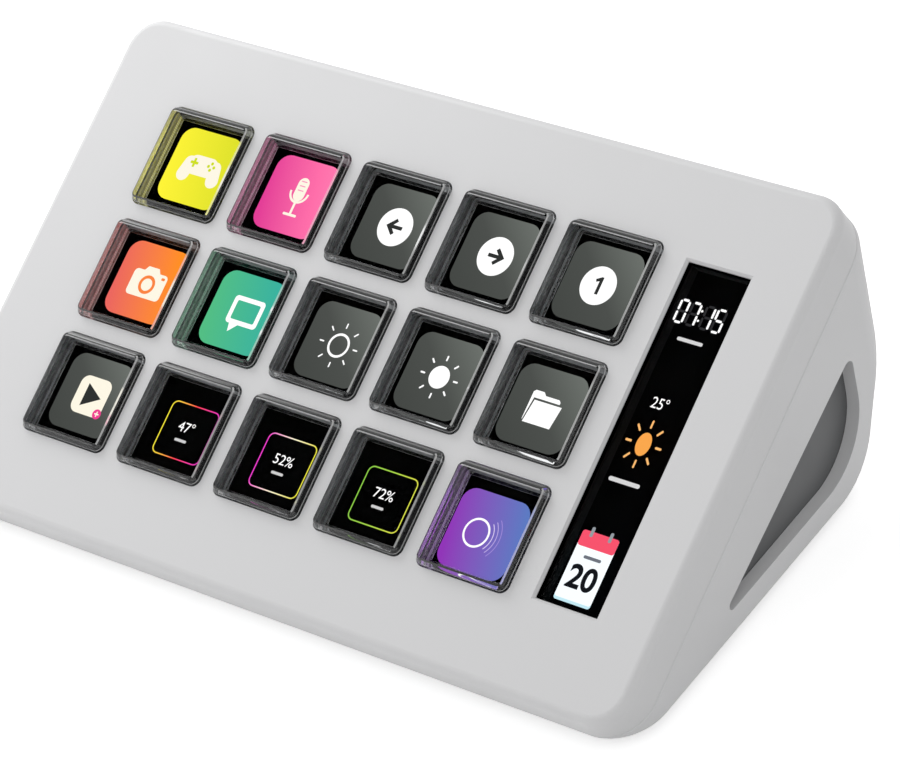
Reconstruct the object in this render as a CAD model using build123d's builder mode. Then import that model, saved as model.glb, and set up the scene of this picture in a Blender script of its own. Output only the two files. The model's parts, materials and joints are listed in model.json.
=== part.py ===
"""A wedge-shaped desk keypad: fifteen clear caps and a strip window over one display.

Millimetres, +Z up. The origin is the middle of the footprint, on the desk. The key face looks
up and towards -Y, and +X is to the right of someone who sits in front of it.

Three planes carry the whole model:
face_plane   on the key face: x to the right, y up the slope, z out of the face
side_plane   the middle section: its x is the face's y, and its y is the face's z
Plane.XY     the desk under the feet
"""

import os
from math import atan2, cos, degrees, isclose, radians, sin, tan

from build123d import *

os.makedirs("parts", exist_ok=True)

# ---- Driving dimensions --------------------------------------------------------------------

# Housing
tilt = 28.5  # key face above the desk, degrees
left_border = 13.7  # from the face's edge to the keys
right_border = 9.45  # from the strip to the face's edge
top_border = 12.0
bottom_border = 12.1
face_corner = 4.5  # corner radius of the face outline
seam_corner = 7.0  # corner radius of the outline at the seam
edge_round = 1.2  # rounding where the face meets its side walls
seam_depth = 5.8  # from the face down to the seam between the shells
seam_bevel = 0.2  # bevel on both shells that draws the seam as a fine groove
seam_bevel_angle = 45.0
flare = 0.4  # how far each side wall leans out from face to seam
rim_height = 1.0  # straight rim of the rear shell, before its walls lean in
lip_land = 0.5  # height of the rear shell's wall at the low front edge
upper_back_angle = 90.0  # upper back wall above the desk, degrees
back_angle = 66.2  # lower back wall above the desk, degrees
back_depth = 12.8  # from the face's top edge down to the lower back wall's plane
back_corner = 10.0  # rounding between base and back wall
rear_draft = 3.0  # lean of the rear shell's sides, degrees
rear_round = 0.8  # rounding along the rear shell's outer edges
plate = 1.6  # thickness of the face
wall = 2.0  # thickness of every other wall, level with the face
tongue_width = 0.9
tongue_height = 1.0
tongue_gap = 0.1

# Keys
key_rows = 3
key_columns = 5
key_spacing = 18.0
key_opening = 15.6
key_opening_corner = 1.4
key_gap = 0.2  # between a cap and its opening, all round
key_rise = 1.15  # cap above the face
key_shoulder = 0.3  # upright side of a cap above the face, below its bevel
key_bevel = 0.5  # width of the bevel, from the shoulder to the top
foot_border = 1.3  # round the clear window in a cap's foot
foot_sink = 0.15  # depth of that window
flange_reach = 0.8  # flange beyond the cap's side
flange_thickness = 0.7
key_travel = 0.8
rib_thickness = 0.7  # lattice between the keys

# Display strip at the right of the keys
strip_width = 10.0
strip_height = 48.9
strip_shift_x = 52.95  # middle of the strip, from the middle of the key block
strip_shift_y = -0.2
strip_bevel = 0.4
lens_sink = 0.3  # lens below the face
lens_gap = 0.1
lens_flange = 1.2
lens_flange_thickness = 0.8

# Display stack, from the mat down
mat_thickness = 0.5
mat_margin = 0.6  # mat beyond the rib lattice
mat_ridge = 0.5  # thickness of the springy ridge under each flange
film_thickness = 0.3
film_gap = 0.1  # air between the film and the glass
window_gap = 0.15  # between a cap's foot and the windows of mat and film
glass_thickness = 1.5
glass_left = 47.6  # from the middle of the key block
glass_right = 59.6
glass_low = 28.8
glass_high = 31.2
tray_thickness = 1.9
tray_corner = 1.5
tray_bevel = 0.4
bracket_thickness = 0.8
bracket_web = 2.0  # left between the cable's slot and each window
bracket_rim = 4.6  # left outside each window
bracket_window_height = 18.0

# Screws, all the same thread
screw_radius = 1.0
screw_head_radius = 1.8
screw_head_height = 1.2
screw_gap = 0.05
screw_bevel = 0.3
boss_radius = 2.3
boss_inset = 4.6  # boss centre from the outside of the face
case_screw_length = 5.0
case_screw_y = 27.0  # from the middle of the face
case_screw_seat = 1.7  # rear shell under the head
head_gap = 0.2
well_wall = 0.9
bracket_screw_length = 4.0
bracket_screw_y = 14.0
board_screw_length = 4.0

# Side windows and the panels behind them
window_base_margin = 4.0
window_back_margin = 10.0  # from the upper back wall
window_front_depth = 12.65  # front edge below the face, at its low end
window_front_slope = 3.4  # degrees
window_tip_radius = 0.8
window_top_radius = 1.2
window_corner_radius = 10.0
panel_overlap = 1.4
panel_thickness = 1.4

# Board in the base
foot_height = 1.0
foot_inlay = 0.6  # how deep a foot sits in the base
foot_length = 24.0
foot_width = 7.0
foot_corner = 2.0
foot_gap = 0.1  # round each foot in its bed
foot_bevel = 0.3
foot_spread = 84.0  # left feet to right feet
foot_spacing = 36.0  # front feet to rear feet
foot_shift = -6.6  # middle of the feet, from the middle of the footprint
board_width = 60.0
board_depth = 25.0
board_thickness = 1.6
board_corner = 1.0
post_height = 4.0
post_radius = 2.5
post_inset = 4.0
socket_width = 8.94
socket_height = 3.2
socket_depth = 7.3
socket_wall = 0.3
socket_overhang = 2.6  # mouth beyond the board's edge
contact_width = 6.7  # tongue in the socket
contact_thickness = 0.7
contact_length = 6.0
port_gap = 0.3
port_width = 13.4  # recess for the plug
port_height = 7.6
port_wall = 1.6

# Chips on the board: y from the board's middle, width, depth and height
main_chip = (-4.0, 9.0, 9.0, 1.0)
memory_chip = (4.5, 6.0, 5.0, 1.6)
coil = (-5.0, 4.0, 4.0, 2.0)
chip_gap = 1.0  # from the display cable's connector to the main chip
far_chip_gap = 3.5  # to the chips at its other end

# Flat cables from the glass and from the switch film
ribbon_thickness = 0.3
ribbon_gap = 1.0  # round the display cable in its slot
ribbon_bend = 1.5
ribbon_turn = 1.2  # key cable beyond the edge of the glass
ribbon_lead = 3.5  # straight start of the display cable
display_ribbon_width = 24.0
display_ribbon_y = 4.0
key_ribbon_width = 12.0
key_ribbon_x = -18.0
key_ribbon_drop = 7.0
key_connector_y = 4.7  # from the middle of the board
connector_height = 2.0
connector_depth = 4.0
connector_side = 1.5

# ---- Planes and places worked out from them ----------------------------------------------

block_width = (key_columns - 1) * key_spacing + key_opening
block_height = (key_rows - 1) * key_spacing + key_opening
face_width = (
    left_border + block_width / 2 + strip_shift_x + strip_width / 2 + right_border
)
face_height = bottom_border + block_height + top_border
key_shift_x = left_border + block_width / 2 - face_width / 2
key_shift_y = bottom_border + block_height / 2 - face_height / 2
seam_width = face_width + 2 * flare
seam_height = face_height + 2 * flare
base_drop = seam_depth + lip_land
back_slope = back_angle - tilt
upper_back_slope = upper_back_angle - tilt
rim_depth = seam_depth + rim_height


def base_line(y, margin=0):
    """z of the base in the side plane, or of a line that far inside it."""
    drop = base_drop + (y + seam_height / 2) * tan(radians(tilt))
    return margin / cos(radians(tilt)) - drop


def back_line(y, margin=0):
    """z of the lower back wall in the side plane, or of a line that far inside it."""
    rise = (y - face_height / 2) * tan(radians(back_slope))
    return margin / cos(radians(back_slope)) + rise - back_depth


def upper_back_line(y, margin=0):
    """z of the upper back wall in the side plane, or of a line that far inside it."""
    rise = (y - seam_height / 2) * tan(radians(upper_back_slope))
    return margin / cos(radians(upper_back_slope)) + rise - rim_depth


def heel(base_margin=0, back_margin=0):
    """Where the base line and the back line cross, in the side plane."""
    apart = base_line(0, base_margin) - back_line(0, back_margin)
    y = apart / (tan(radians(tilt)) + tan(radians(back_slope)))
    return y, base_line(y, base_margin)


def across(y, z):
    """How far behind the face's middle a point of the side plane lies."""
    return y * cos(radians(tilt)) - z * sin(radians(tilt))


def height(y, z):
    """How far above the face's middle a point of the side plane lies."""
    return y * sin(radians(tilt)) + z * cos(radians(tilt))


front_reach = across(-face_height / 2, 0)
back_reach = across(seam_height / 2, -rim_depth)
face_middle = Vector(
    0,
    -(front_reach + back_reach) / 2,
    foot_height - height(-seam_height / 2, -base_drop),
)
slope_up = Vector(0, cos(radians(tilt)), sin(radians(tilt)))
face_out = Vector(0, -sin(radians(tilt)), cos(radians(tilt)))
face_plane = Plane(origin=face_middle, x_dir=(1, 0, 0), z_dir=face_out)
side_plane = Plane(origin=face_middle, x_dir=slope_up, z_dir=(1, 0, 0))
seam_plane = face_plane.offset(-seam_depth)

key_plane = Plane(
    origin=face_plane.from_local_coords((key_shift_x, key_shift_y, 0)),
    x_dir=(1, 0, 0),
    z_dir=face_out,
)
cap_width = key_opening - 2 * key_gap
cap_corner = key_opening_corner - key_gap
bevel_height = key_rise - key_shoulder
foot_window = cap_width - 2 * foot_border
flange_width = cap_width + 2 * flange_reach
flange_foot = plate + flange_thickness
mat_top = flange_foot + key_travel
mat_foot = mat_top + mat_thickness
film_foot = mat_foot + film_thickness
glass_top = film_foot + film_gap
glass_foot = glass_top + glass_thickness
tray_foot = glass_foot + tray_thickness
bracket_foot = tray_foot + bracket_thickness
cap_foot = mat_top
window_width = cap_width + 2 * window_gap
lattice_width = key_columns * key_spacing + rib_thickness
lattice_height = key_rows * key_spacing + rib_thickness
cell_width = key_spacing - rib_thickness

glass_width = glass_left + glass_right
glass_height = glass_low + glass_high
glass_middle = ((glass_right - glass_left) / 2, (glass_high - glass_low) / 2)

boss_x = face_width / 2 - boss_inset
boss_places = GridLocations(2 * boss_x, 2 * case_screw_y, 2, 2)
bracket_places = GridLocations(2 * boss_x, 2 * bracket_screw_y, 2, 2)
thread_radius = screw_radius + screw_gap
head_hole_radius = screw_head_radius + head_gap

base_top = foot_height + wall
board_foot = base_top + post_height
board_top = board_foot + board_thickness
socket_middle = board_top + socket_height / 2


def back_wall_y(z, inset=0):
    """Y of the back wall's surface at height z, inset into the wall."""
    run = (z - foot_height) / tan(radians(back_angle))
    return face_middle.Y + across(*heel()) + run - inset / sin(radians(back_angle))


board_back = back_wall_y(board_foot, wall) - port_gap
board_middle_y = board_back - board_depth / 2
post_places = GridLocations(
    board_width - 2 * post_inset, board_depth - 2 * post_inset, 2, 2
)
socket_mouth = board_back + socket_overhang
post_plane = Plane((0, board_middle_y, board_foot))
board_plane = Plane((0, board_middle_y, board_top))
foot_plane = Plane((0, foot_shift, foot_height))


def on_face(shape):
    """The middle of an edge or face, in the face plane's own x, y and z."""
    return face_plane.to_local_coords(shape.center())


def is_on_seam(edge):
    """Whether an edge lies in the plane where the two shells meet."""
    return isclose(on_face(edge).Z, -seam_depth, abs_tol=seam_bevel / 2)


def wedge(inset):
    """The rear shell's form, drawn in by inset on every side but the seam."""
    reach = seam_height
    depth = seam_height / 2
    narrowing = depth * tan(radians(rear_draft))
    shortening = depth / tan(radians(upper_back_slope))
    width = seam_width - 2 * inset
    length = seam_height - 2 * inset
    corner = seam_corner - inset
    rim_plane = seam_plane.offset(-rim_height)
    with BuildPart() as form:
        with BuildSketch(seam_plane):
            RectangleRounded(width, length, corner)
        extrude(amount=-rim_height)
        with BuildSketch(rim_plane):
            RectangleRounded(width, length, corner)
        with BuildSketch(rim_plane.offset(-depth)):
            with Locations((0, -shortening / 2)):
                RectangleRounded(width - 2 * narrowing, length - shortening, corner)
        loft(ruled=True)
        with BuildSketch(side_plane) as section:
            with BuildLine():
                Polyline(
                    (-reach, base_line(-reach, inset)),
                    heel(inset, inset),
                    (reach, back_line(reach, inset)),
                    close=True,
                )
            make_face()
            fillet(section.vertices().sort_by(Axis.Y)[0], back_corner - inset)
        extrude(amount=seam_width, both=True, mode=Mode.INTERSECT)
        if inset == 0:
            low = -base_drop - rear_round
            fillet(form.edges().filter_by(lambda edge: on_face(edge).Z < low), rear_round)
            chamfer(form.edges().filter_by(is_on_seam), seam_bevel)
    return form.part


# ---- Front shell ---------------------------------------------------------------------------

with BuildPart() as front_shell:
    with BuildSketch(seam_plane.offset(seam_bevel)):
        RectangleRounded(seam_width, seam_height, seam_corner)
    with BuildSketch(face_plane):
        RectangleRounded(face_width, face_height, face_corner)
    loft()
    fillet(front_shell.faces().sort_by(Axis(face_middle, face_out))[-1].edges(), edge_round)
    with BuildSketch(seam_plane.offset(seam_bevel)):
        RectangleRounded(seam_width, seam_height, seam_corner)
    extrude(amount=-seam_bevel, taper=seam_bevel_angle)
    # hollow, with a rebate round the rim for the rear shell's tongue
    with BuildSketch(seam_plane):
        RectangleRounded(
            seam_width - 2 * wall, seam_height - 2 * wall, seam_corner - wall
        )
    extrude(amount=seam_depth - plate, mode=Mode.SUBTRACT)
    rebate = wall - tongue_width - tongue_gap
    with BuildSketch(seam_plane):
        RectangleRounded(
            seam_width - 2 * rebate, seam_height - 2 * rebate, seam_corner - rebate
        )
    extrude(amount=tongue_height + tongue_gap, mode=Mode.SUBTRACT)
    # lattice that guides the keys and holds the mat down
    with BuildSketch(key_plane.offset(-plate)):
        Rectangle(lattice_width, lattice_height)
        with GridLocations(key_spacing, key_spacing, key_columns, key_rows):
            Rectangle(cell_width, cell_width, mode=Mode.SUBTRACT)
    extrude(amount=-(mat_top - plate))
    # bosses for the case screws and, deeper, for the bracket screws
    with BuildSketch(face_plane.offset(-plate)):
        with boss_places:
            Circle(boss_radius)
    extrude(amount=-(seam_depth - plate))
    with BuildSketch(face_plane.offset(-plate)):
        with bracket_places:
            Circle(boss_radius)
    extrude(amount=-(tray_foot - plate))
    with BuildSketch(seam_plane):
        with boss_places:
            Circle(thread_radius)
    extrude(amount=case_screw_length - case_screw_seat, mode=Mode.SUBTRACT)
    with BuildSketch(face_plane.offset(-tray_foot)):
        with bracket_places:
            Circle(thread_radius)
    extrude(amount=bracket_screw_length, mode=Mode.SUBTRACT)
    # key openings and the bevelled strip opening
    with BuildSketch(key_plane):
        with GridLocations(key_spacing, key_spacing, key_columns, key_rows):
            RectangleRounded(key_opening, key_opening, key_opening_corner)
        with Locations((strip_shift_x, strip_shift_y)):
            Rectangle(strip_width, strip_height)
    extrude(amount=-plate, mode=Mode.SUBTRACT)
    strip_left = key_shift_x + strip_shift_x - strip_width / 2 - strip_bevel
    face_edges = front_shell.faces().sort_by(Axis(face_middle, face_out))[-1].edges()
    chamfer(
        face_edges.filter_by(
            lambda edge: strip_left < on_face(edge).X < strip_left + 2 * strip_width
            and abs(on_face(edge).Y) < face_height / 2 - edge_round
            and on_face(edge).X < face_width / 2 - edge_round
        ),
        strip_bevel,
    )

front_shell.part.label = "front_shell"
export_step(front_shell.part, "parts/front_shell.step")

# ---- Rear shell ----------------------------------------------------------------------------

outer_wedge = wedge(0)
inner_wedge = wedge(wall)

# what the cavity leaves standing: screw wells, board posts and the block round the port
port_face_y = socket_mouth + port_gap
port_plane = Plane(origin=(0, port_face_y, socket_middle), x_dir=(-1, 0, 0), z_dir=(0, 1, 0))
with BuildPart() as standing:
    with BuildSketch(seam_plane):
        with boss_places:
            Circle(head_hole_radius + well_wall)
    extrude(amount=-face_height)
    with BuildSketch(post_plane):
        with post_places:
            Circle(post_radius)
    extrude(amount=-board_foot)
    with BuildSketch(port_plane.offset(-port_wall)):
        RectangleRounded(
            port_width + 2 * port_wall, port_height + 2 * port_wall, port_wall
        )
    extrude(amount=face_height)

with BuildPart() as cavity:
    add(inner_wedge)
    add(standing.part, mode=Mode.SUBTRACT)
    # the rim under the front shell's bosses stays, as the seat of each case screw
    with BuildSketch(seam_plane):
        with boss_places:
            Circle(head_hole_radius + well_wall)
    extrude(amount=-case_screw_seat, mode=Mode.SUBTRACT)


def window_corners():
    """Tip, top and heel of a side window before rounding, in the side plane."""
    slope = tan(radians(window_front_slope))
    rise = tan(radians(upper_back_slope))
    drop = base_line(0, window_base_margin) + window_front_depth
    tip_y = drop / tan(radians(tilt))
    back_z = upper_back_line(0, window_back_margin)
    top_y = (tip_y * slope - window_front_depth - back_z) / (slope + rise)
    heel_y = (base_line(0, window_base_margin) - back_z) / (tan(radians(tilt)) + rise)
    return (
        (tip_y, -window_front_depth),
        (top_y, upper_back_line(top_y, window_back_margin)),
        (heel_y, base_line(heel_y, window_base_margin)),
    )


window_radii = (window_tip_radius, window_top_radius, window_corner_radius)


def side_wall_plane(side, inset):
    """Along a leaning side wall: x up the slope, z out of the housing."""
    foot = face_plane.from_local_coords((side * seam_width / 2, 0, -seam_depth))
    out = Vector(side, 0, 0) * cos(radians(rear_draft)) - face_out * sin(radians(rear_draft))
    return Plane(origin=foot, x_dir=slope_up, z_dir=out).offset(-inset)


foot_places = GridLocations(foot_spread, foot_spacing, 2, 2)

with BuildPart() as rear_shell:
    add(outer_wedge)
    add(cavity.part, mode=Mode.SUBTRACT)
    # tongue that stands in the front shell's rebate
    tongue = wall - tongue_width
    with BuildSketch(seam_plane):
        RectangleRounded(
            seam_width - 2 * tongue, seam_height - 2 * tongue, seam_corner - tongue
        )
        RectangleRounded(
            seam_width - 2 * wall,
            seam_height - 2 * wall,
            seam_corner - wall,
            mode=Mode.SUBTRACT,
        )
    extrude(amount=tongue_height)
    # side windows
    lean = -heel()[1] * tan(radians(rear_draft))
    for side in (-1, 1):
        with BuildSketch(side_plane.offset(side * seam_width / 2)):
            with BuildLine():
                FilletPolyline(*window_corners(), radius=window_radii, close=True)
            make_face()
        extrude(amount=-side * (wall + lean), mode=Mode.SUBTRACT)
    # case screw holes and the wells for their heads
    with BuildSketch(seam_plane):
        with boss_places:
            Circle(thread_radius)
    extrude(amount=-case_screw_seat, mode=Mode.SUBTRACT)
    with BuildSketch(seam_plane.offset(-case_screw_seat)):
        with boss_places:
            Circle(head_hole_radius)
    extrude(amount=-face_height, mode=Mode.SUBTRACT)
    # screw holes in the board posts
    with BuildSketch(post_plane):
        with post_places:
            Circle(thread_radius)
    extrude(amount=-board_screw_length, mode=Mode.SUBTRACT)
    # port for the plug, and the socket's hole through its floor
    with BuildSketch(port_plane):
        RectangleRounded(port_width, port_height, port_height / 2 - port_gap)
    extrude(amount=face_height, mode=Mode.SUBTRACT)
    with BuildSketch(port_plane):
        SlotOverall(socket_width + 2 * port_gap, socket_height + 2 * port_gap)
    extrude(amount=-2 * port_wall, mode=Mode.SUBTRACT)
    # beds for the feet
    with BuildSketch(foot_plane):
        with foot_places:
            RectangleRounded(
                foot_length + 2 * foot_gap, foot_width + 2 * foot_gap, foot_corner
            )
    extrude(amount=foot_inlay, mode=Mode.SUBTRACT)

rear_shell.part.label = "rear_shell"
export_step(rear_shell.part, "parts/rear_shell.step")

# ---- Panels behind the side windows ------------------------------------------------------

for side, name in ((-1, "side_panel_left"), (1, "side_panel_right")):
    with BuildPart() as side_panel:
        with BuildSketch(side_wall_plane(side, wall)):
            with BuildLine():
                FilletPolyline(
                    *((y, side * (z + seam_depth)) for y, z in window_corners()),
                    radius=window_radii,
                    close=True,
                )
            make_face()
            offset(amount=panel_overlap, mode=Mode.REPLACE)
        extrude(amount=-panel_thickness)
    side_panel.part.label = name
    export_step(side_panel.part, f"parts/{name}.step")

# ---- Key caps --------------------------------------------------------------------------------


def key_cap(row, column):
    """A clear block with a flange that keeps it under the face."""
    x = (column - (key_columns + 1) / 2) * key_spacing
    y = ((key_rows + 1) / 2 - row) * key_spacing
    cap_plane = Plane(
        origin=key_plane.from_local_coords((x, y, -cap_foot)), x_dir=(1, 0, 0), z_dir=face_out
    )
    with BuildPart() as cap:
        with BuildSketch(cap_plane):
            RectangleRounded(cap_width, cap_width, cap_corner)
        extrude(amount=cap_foot + key_shoulder)
        with BuildSketch(cap_plane.offset(cap_foot + key_shoulder)):
            RectangleRounded(cap_width, cap_width, cap_corner)
        extrude(amount=bevel_height, taper=degrees(atan2(key_bevel, bevel_height)))
        with BuildSketch(cap_plane):
            Rectangle(foot_window, foot_window)
        extrude(amount=foot_sink, mode=Mode.SUBTRACT)
        with BuildSketch(cap_plane.offset(cap_foot - flange_foot)):
            RectangleRounded(flange_width, flange_width, cap_corner)
        extrude(amount=flange_thickness)
    return cap.part


for row in range(1, key_rows + 1):
    for column in range(1, key_columns + 1):
        key = key_cap(row, column)
        key.label = f"key_{row}_{column}"
        export_step(key, f"parts/key_{row}_{column}.step")

# ---- Strip lens and its gasket ---------------------------------------------------------------

strip_plane = Plane(
    origin=key_plane.from_local_coords((strip_shift_x, strip_shift_y, 0)),
    x_dir=(1, 0, 0),
    z_dir=face_out,
)
lens_foot = plate + lens_flange_thickness
lens_width = strip_width - 2 * lens_gap
lens_height = strip_height - 2 * lens_gap

with BuildPart() as strip_lens:
    with BuildSketch(strip_plane.offset(-lens_foot)):
        Rectangle(lens_width + 2 * lens_flange, lens_height + 2 * lens_flange)
    extrude(amount=lens_flange_thickness)
    with BuildSketch(strip_plane.offset(-plate)):
        Rectangle(lens_width, lens_height)
    extrude(amount=plate - lens_sink)

strip_lens.part.label = "strip_lens"
export_step(strip_lens.part, "parts/strip_lens.step")

with BuildPart() as strip_gasket:
    with BuildSketch(strip_plane.offset(-glass_top)):
        Rectangle(lens_width + 2 * lens_flange, lens_height + 2 * lens_flange)
        Rectangle(lens_width, lens_height, mode=Mode.SUBTRACT)
    extrude(amount=glass_top - lens_foot)

strip_gasket.part.label = "strip_gasket"
export_step(strip_gasket.part, "parts/strip_gasket.step")

# ---- Silicone mat and switch film ------------------------------------------------------------

mat_width = lattice_width + 2 * mat_margin
mat_height = lattice_height + 2 * mat_margin

with BuildPart() as key_mat:
    with BuildSketch(key_plane.offset(-mat_foot)):
        Rectangle(mat_width, mat_height)
    extrude(amount=mat_thickness)
    with BuildSketch(key_plane.offset(-mat_top)):
        with GridLocations(key_spacing, key_spacing, key_columns, key_rows):
            Rectangle(window_width + 2 * mat_ridge, window_width + 2 * mat_ridge)
    extrude(amount=mat_top - flange_foot)
    with BuildSketch(key_plane.offset(-flange_foot)):
        with GridLocations(key_spacing, key_spacing, key_columns, key_rows):
            Rectangle(window_width, window_width)
    extrude(amount=-(mat_foot - flange_foot), mode=Mode.SUBTRACT)

key_mat.part.label = "key_mat"
export_step(key_mat.part, "parts/key_mat.step")

with BuildPart() as contact_film:
    with BuildSketch(key_plane.offset(-film_foot)):
        Rectangle(mat_width, mat_height)
        with GridLocations(key_spacing, key_spacing, key_columns, key_rows):
            Rectangle(window_width, window_width, mode=Mode.SUBTRACT)
    extrude(amount=film_thickness)

contact_film.part.label = "contact_film"
export_step(contact_film.part, "parts/contact_film.step")

# ---- Display: glass, backlight tray and the bracket that clamps them ------------------------

glass_plane = Plane(
    origin=key_plane.from_local_coords((*glass_middle, -glass_top)),
    x_dir=(1, 0, 0),
    z_dir=face_out,
)
tray_plane = glass_plane.offset(-glass_thickness)
bracket_plane = tray_plane.offset(-tray_thickness)

with BuildPart() as lcd_glass:
    with BuildSketch(glass_plane):
        Rectangle(glass_width, glass_height)
    extrude(amount=-glass_thickness)

lcd_glass.part.label = "lcd_glass"
export_step(lcd_glass.part, "parts/lcd_glass.step")

with BuildPart() as backlight_tray:
    with BuildSketch(tray_plane):
        RectangleRounded(glass_width, glass_height, tray_corner)
    extrude(amount=-tray_thickness)
    back = backlight_tray.faces().sort_by(Axis(face_middle, face_out))[0]
    chamfer(back.edges(), tray_bevel)

backlight_tray.part.label = "backlight_tray"
export_step(backlight_tray.part, "parts/backlight_tray.step")

ear_places = GridLocations(0, 2 * bracket_screw_y, 1, 2)
slot_width = display_ribbon_width + 2 * ribbon_gap
bracket_window_near = slot_width / 2 + bracket_web
bracket_window_far = glass_width / 2 - bracket_rim
bracket_window_x = (bracket_window_near + bracket_window_far) / 2
bracket_window_width = bracket_window_far - bracket_window_near

with BuildPart() as lcd_bracket:
    with BuildSketch(bracket_plane):
        RectangleRounded(glass_width, glass_height, tray_corner)
        with GridLocations(2 * bracket_window_x, 0, 2, 1):
            RectangleRounded(
                bracket_window_width, bracket_window_height, tray_corner, mode=Mode.SUBTRACT
            )
    extrude(amount=-bracket_thickness)
    with BuildSketch(face_plane.offset(-tray_foot)):
        with ear_places:
            SlotOverall(2 * (boss_x + boss_radius), 2 * boss_radius)
    extrude(amount=-bracket_thickness)
    with BuildSketch(face_plane.offset(-tray_foot)):
        with bracket_places:
            Circle(thread_radius)
        with Locations((0, display_ribbon_y)):
            Rectangle(slot_width, ribbon_thickness + 2 * ribbon_gap)
    extrude(amount=-bracket_thickness, mode=Mode.SUBTRACT)

lcd_bracket.part.label = "lcd_bracket"
export_step(lcd_bracket.part, "parts/lcd_bracket.step")

# ---- Main board and what stands on it ----------------------------------------------------

with BuildPart() as main_board:
    with BuildSketch(post_plane):
        RectangleRounded(board_width, board_depth, board_corner)
        with post_places:
            Circle(thread_radius, mode=Mode.SUBTRACT)
    extrude(amount=board_thickness)

main_board.part.label = "main_board"
export_step(main_board.part, "parts/main_board.step")

connector_end = display_ribbon_width / 2 + connector_side

with BuildPart() as board_chips:
    for side, gap, (y, width, depth, tall) in (
        (-1, chip_gap, main_chip),
        (1, far_chip_gap, memory_chip),
        (1, far_chip_gap, coil),
    ):
        with BuildSketch(board_plane):
            with Locations((side * (connector_end + gap + width / 2), y)):
                Rectangle(width, depth)
        extrude(amount=tall)

board_chips.part.label = "board_chips"
export_step(board_chips.part, "parts/board_chips.step")

# The two flat cables, each a path in a section plane with its connector under the lower end


def in_section(y, z):
    """A point of the side plane, as Y and Z on the desk."""
    return face_middle.Y + across(y, z), face_middle.Z + height(y, z)


connector_top = board_top + connector_height
display_end = in_section(display_ribbon_y, -tray_foot)
display_bend = in_section(display_ribbon_y, -tray_foot - ribbon_lead)
display_path = (display_end, display_bend, (display_bend[0], connector_top))
film_edge = key_shift_y + mat_height / 2
film_level = -(mat_foot + film_foot) / 2
ribbon_edge = key_shift_y + glass_high + ribbon_turn
key_path = (
    in_section(film_edge, film_level),
    in_section(ribbon_edge, film_level),
    in_section(ribbon_edge, -bracket_foot - 2 * ribbon_turn),
    (board_middle_y + key_connector_y, connector_top + key_ribbon_drop),
    (board_middle_y + key_connector_y, connector_top),
)

with BuildPart() as display_ribbon:
    with BuildSketch(Plane.YZ.offset(-display_ribbon_width / 2)):
        with BuildLine():
            FilletPolyline(*display_path, radius=ribbon_bend)
        trace(line_width=ribbon_thickness)
    extrude(amount=display_ribbon_width)

display_ribbon.part.label = "display_ribbon"
export_step(display_ribbon.part, "parts/display_ribbon.step")

with BuildPart() as key_ribbon:
    with BuildSketch(Plane.YZ.offset(key_ribbon_x - key_ribbon_width / 2)):
        with BuildLine():
            FilletPolyline(*key_path, radius=ribbon_bend)
        trace(line_width=ribbon_thickness)
    extrude(amount=key_ribbon_width)

key_ribbon.part.label = "key_ribbon"
export_step(key_ribbon.part, "parts/key_ribbon.step")

with BuildPart() as ribbon_connectors:
    with BuildSketch(board_plane):
        with Locations((0, display_bend[0] - board_middle_y)):
            Rectangle(2 * connector_end, connector_depth)
        with Locations((key_ribbon_x, key_connector_y)):
            Rectangle(key_ribbon_width + 2 * connector_side, connector_depth)
    extrude(amount=connector_height)

ribbon_connectors.part.label = "ribbon_connectors"
export_step(ribbon_connectors.part, "parts/ribbon_connectors.step")

# ---- USB socket --------------------------------------------------------------------------------

mouth_plane = Plane(
    origin=(0, socket_mouth, socket_middle), x_dir=(-1, 0, 0), z_dir=(0, 1, 0)
)

with BuildPart() as usb_socket:
    with BuildSketch(mouth_plane):
        SlotOverall(socket_width, socket_height)
    extrude(amount=-socket_depth)
    with BuildSketch(mouth_plane):
        SlotOverall(socket_width - 2 * socket_wall, socket_height - 2 * socket_wall)
    extrude(amount=-(socket_depth - 2 * socket_wall), mode=Mode.SUBTRACT)
    with BuildSketch(mouth_plane.offset(-socket_depth + socket_wall)):
        Rectangle(contact_width, contact_thickness)
    extrude(amount=contact_length)

usb_socket.part.label = "usb_socket"
export_step(usb_socket.part, "parts/usb_socket.step")

# ---- Screws --------------------------------------------------------------------------------------


def screws(seat_plane, places, length):
    """Screws whose heads stand out of the seat plane and whose shanks go into it."""
    with BuildPart() as group:
        with BuildSketch(seat_plane):
            with places:
                Circle(screw_head_radius)
        extrude(amount=screw_head_height)
        chamfer(group.edges().sort_by(Axis(seat_plane.origin, seat_plane.z_dir))[-4:], screw_bevel)
        with BuildSketch(seat_plane):
            with places:
                Circle(screw_radius)
        extrude(amount=-length)
    return group.part


def seen_from_behind(plane):
    """The same plane, facing the other way."""
    return Plane(origin=plane.origin, x_dir=plane.x_dir, z_dir=-plane.z_dir)


case_screws = screws(
    seen_from_behind(seam_plane.offset(-case_screw_seat)), boss_places, case_screw_length
)
case_screws.label = "case_screws"
export_step(case_screws, "parts/case_screws.step")

bracket_screws = screws(
    seen_from_behind(face_plane.offset(-bracket_foot)), bracket_places, bracket_screw_length
)
bracket_screws.label = "bracket_screws"
export_step(bracket_screws, "parts/bracket_screws.step")

board_screws = screws(board_plane, post_places, board_screw_length)
board_screws.label = "board_screws"
export_step(board_screws, "parts/board_screws.step")

# ---- Feet ----------------------------------------------------------------------------------------

with BuildPart() as rubber_feet:
    with BuildSketch(foot_plane.offset(foot_inlay)):
        with foot_places:
            RectangleRounded(foot_length, foot_width, foot_corner)
    extrude(amount=-(foot_height + foot_inlay))
    chamfer(rubber_feet.faces().sort_by(Axis.Z)[:4].edges(), foot_bevel)

rubber_feet.part.label = "rubber_feet"
export_step(rubber_feet.part, "parts/rubber_feet.step")
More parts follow.
